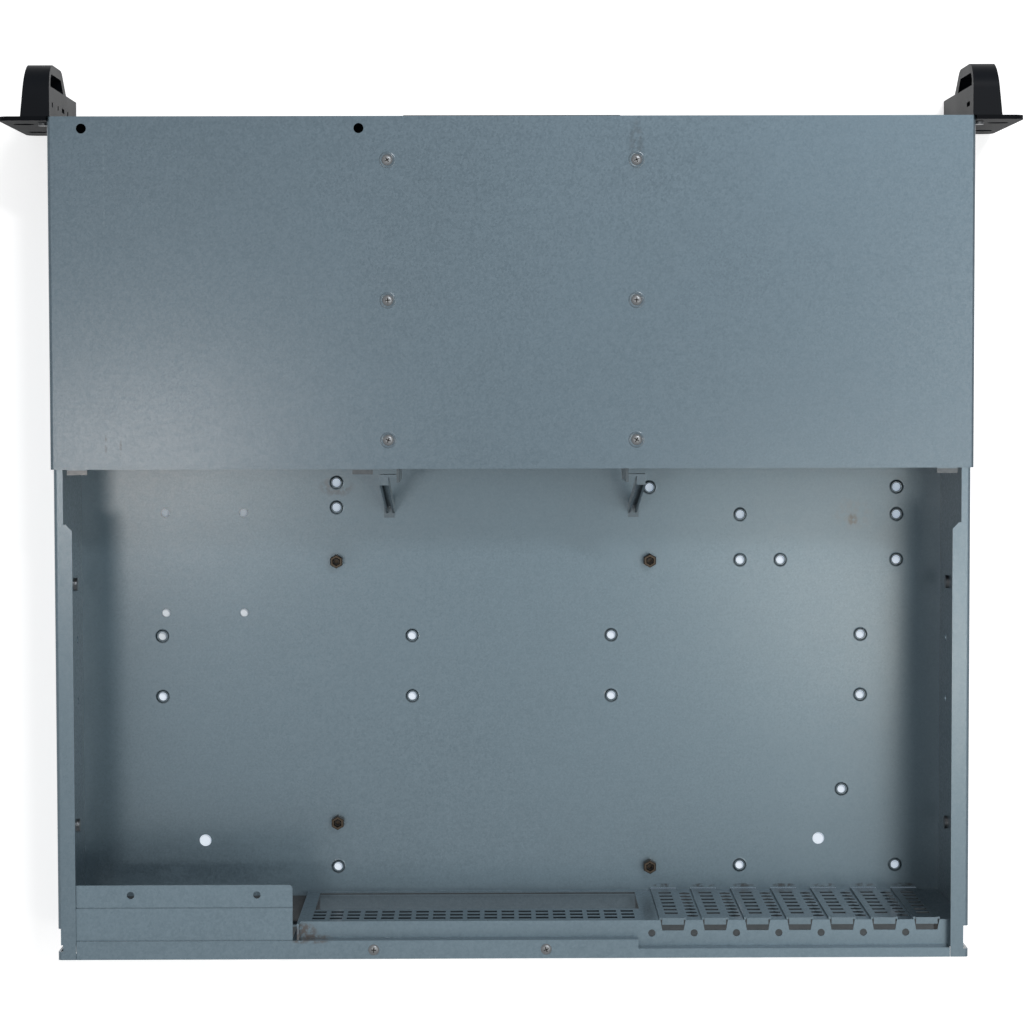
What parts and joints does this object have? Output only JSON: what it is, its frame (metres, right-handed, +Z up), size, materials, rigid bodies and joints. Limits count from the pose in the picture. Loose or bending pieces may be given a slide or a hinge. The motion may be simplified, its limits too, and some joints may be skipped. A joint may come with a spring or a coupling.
{
  "type": "rackmount server case",
  "caption": "Empty rack-mount case: folded steel tub with rear lid off, fixed front cover over a drive bay, vented blanked expansion slots, rack ears with pull handles.",
  "frame": {"origin": "middle of the case's width, in the plane of the rack ears' rear faces, at the underside", "axes": "+X to the right as seen from the front, +Y from front to rear, +Z up"},
  "size_m": [0.4826, 0.4315, 0.0881],
  "materials": {
    "galvanised_steel": "galvanised sheet, faint spangle",
    "black_steel": "fine-textured black paint",
    "black_plastic": "fine-grained satin moulding",
    "circuit_board": "solder-resist green",
    "clear_lens": "clear moulded light pipe",
    "brass": "turned brass",
    "plated_fasteners": "zinc plated"
  },
  "bodies": {
    "case": {"base_tub": "galvanised_steel", "rear_panel": "galvanised_steel", "front_panel": "black_steel", "front_cover": "galvanised_steel", "supply_plate": "galvanised_steel", "drive_rail_left": "galvanised_steel", "drive_rail_right": "galvanised_steel", "rail_strut_left": "galvanised_steel", "rail_strut_right": "galvanised_steel", "ear_left": "black_steel", "ear_right": "black_steel", "handle_left": "black_plastic", "handle_right": "black_plastic", "slot_cover_1": "galvanised_steel", "slot_cover_2": "galvanised_steel", "slot_cover_3": "galvanised_steel", "slot_cover_4": "galvanised_steel", "slot_cover_5": "galvanised_steel", "slot_cover_6": "galvanised_steel", "slot_cover_7": "galvanised_steel", "bay_blank_lower": "black_plastic", "bay_blank_upper": "black_plastic", "control_housing": "black_plastic", "control_board": "circuit_board", "led_lenses": "clear_lens", "cover_screws": "plated_fasteners", "rear_flange_screws": "plated_fasteners", "handle_screws": "plated_fasteners", "ear_rivets": "plated_fasteners", "slide_studs": "plated_fasteners", "board_standoffs": "brass"},
    "power_button": {"power_button": "black_plastic"},
    "reset_button": {"reset_button": "black_plastic"}
  },
  "joints": [
    {"name": "power_press", "type": "slide", "parent": "case", "child": "power_button", "axis": [0, 1, 0], "range_m": [0, 0.0012], "stiffness_N_per_m": 600},
    {"name": "reset_press", "type": "slide", "parent": "case", "child": "reset_button", "axis": [0, 1, 0], "range_m": [0, 0.0012], "stiffness_N_per_m": 600}
  ]
}
